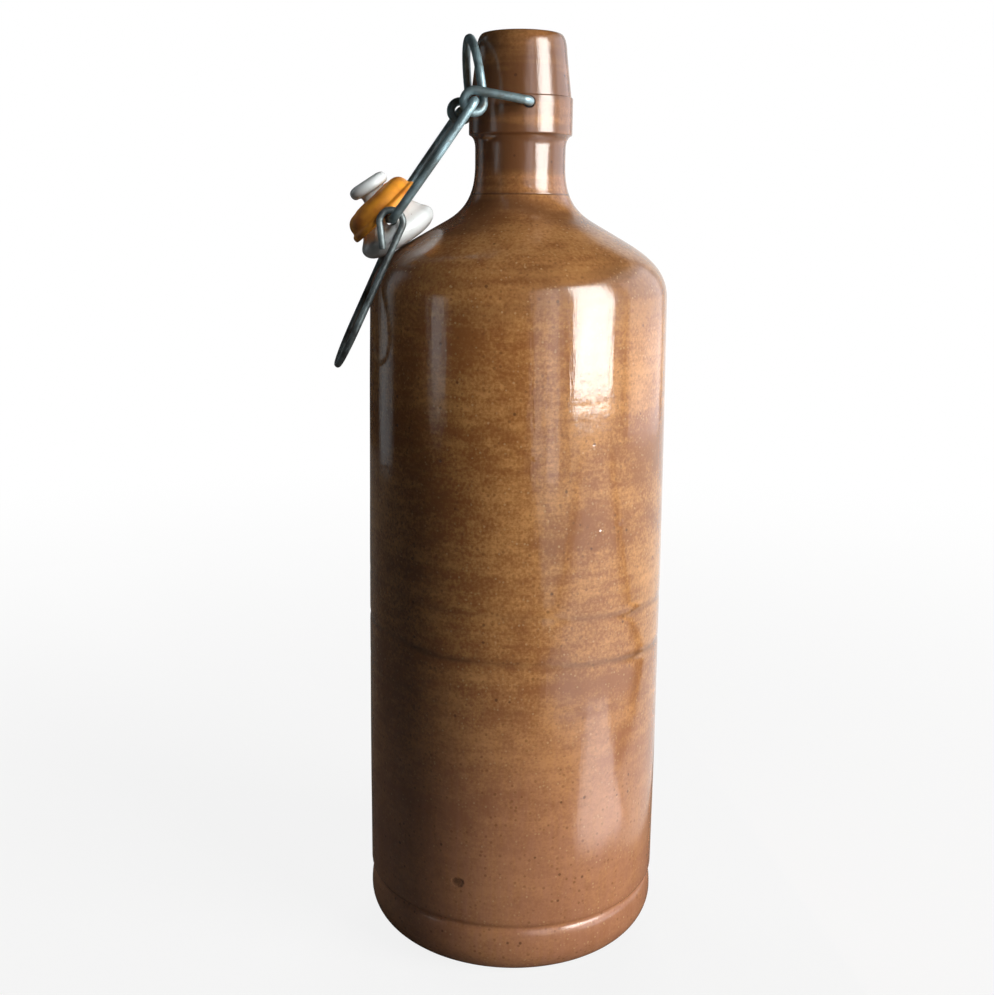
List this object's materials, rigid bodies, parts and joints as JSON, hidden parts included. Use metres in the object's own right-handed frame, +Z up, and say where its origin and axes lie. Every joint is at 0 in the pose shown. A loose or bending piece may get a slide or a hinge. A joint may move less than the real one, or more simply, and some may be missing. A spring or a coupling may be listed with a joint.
{
  "type": "swing-top stoneware bottle",
  "caption": "Tall brown salt-glazed stoneware bottle with a wire swing-top closure; its porcelain stopper with a rubber washer hangs open on the shoulder beside a pull loop.",
  "frame": {"origin": "middle of the flat base", "axes": "+Z up along the bottle's axis, closure pivots along Y, the open closure hangs on the -X side"},
  "size_m": [0.1026, 0.093, 0.28],
  "materials": {
    "salt_glaze": "glossy brown salt glaze with fine throwing lines, specks and an orange-peel surface",
    "galvanised_wire": "dull blue-grey galvanised wire, darker where it has oxidised",
    "porcelain": "glossy white glazed porcelain",
    "orange_rubber": "smooth matt orange rubber",
    "dark_wire": "dark oxidised steel wire"
  },
  "bodies": {
    "bottle": {"stoneware_bottle": "salt_glaze"},
    "lever": {"lever_wire": "galvanised_wire"},
    "bail": {"bail_wire": "galvanised_wire"},
    "stopper": {"porcelain_stopper": "porcelain", "rubber_washer": "orange_rubber"},
    "pull_loop": {"pull_loop_wire": "dark_wire"}
  },
  "joints": [
    {"name": "lever_throw", "type": "hinge", "parent": "bottle", "child": "lever", "pos_m": [0, 0, 0.2599], "axis": [0, -1, 0], "range_deg": [0, 100]},
    {"name": "bail_swing", "type": "hinge", "parent": "lever", "child": "bail", "pos_m": [-0.01609, 0, 0.25942], "axis": [0, 1, 0], "range_deg": [0, 180]},
    {"name": "stopper_tilt", "type": "hinge", "parent": "bail", "child": "stopper", "pos_m": [-0.03904, 0, 0.2269], "axis": [0, 1, 0], "range_deg": [0, 62]},
    {"name": "pull_loop_swing", "type": "hinge", "parent": "bail", "child": "pull_loop", "pos_m": [-0.03904, 0, 0.2269], "axis": [0, 1, 0], "range_deg": [0, 95]}
  ],
  "couplings": [
    {"joint": "bail_swing", "follows": "lever_throw", "ratio": 1.8},
    {"joint": "stopper_tilt", "follows": "lever_throw", "ratio": 0.62}
  ]
}
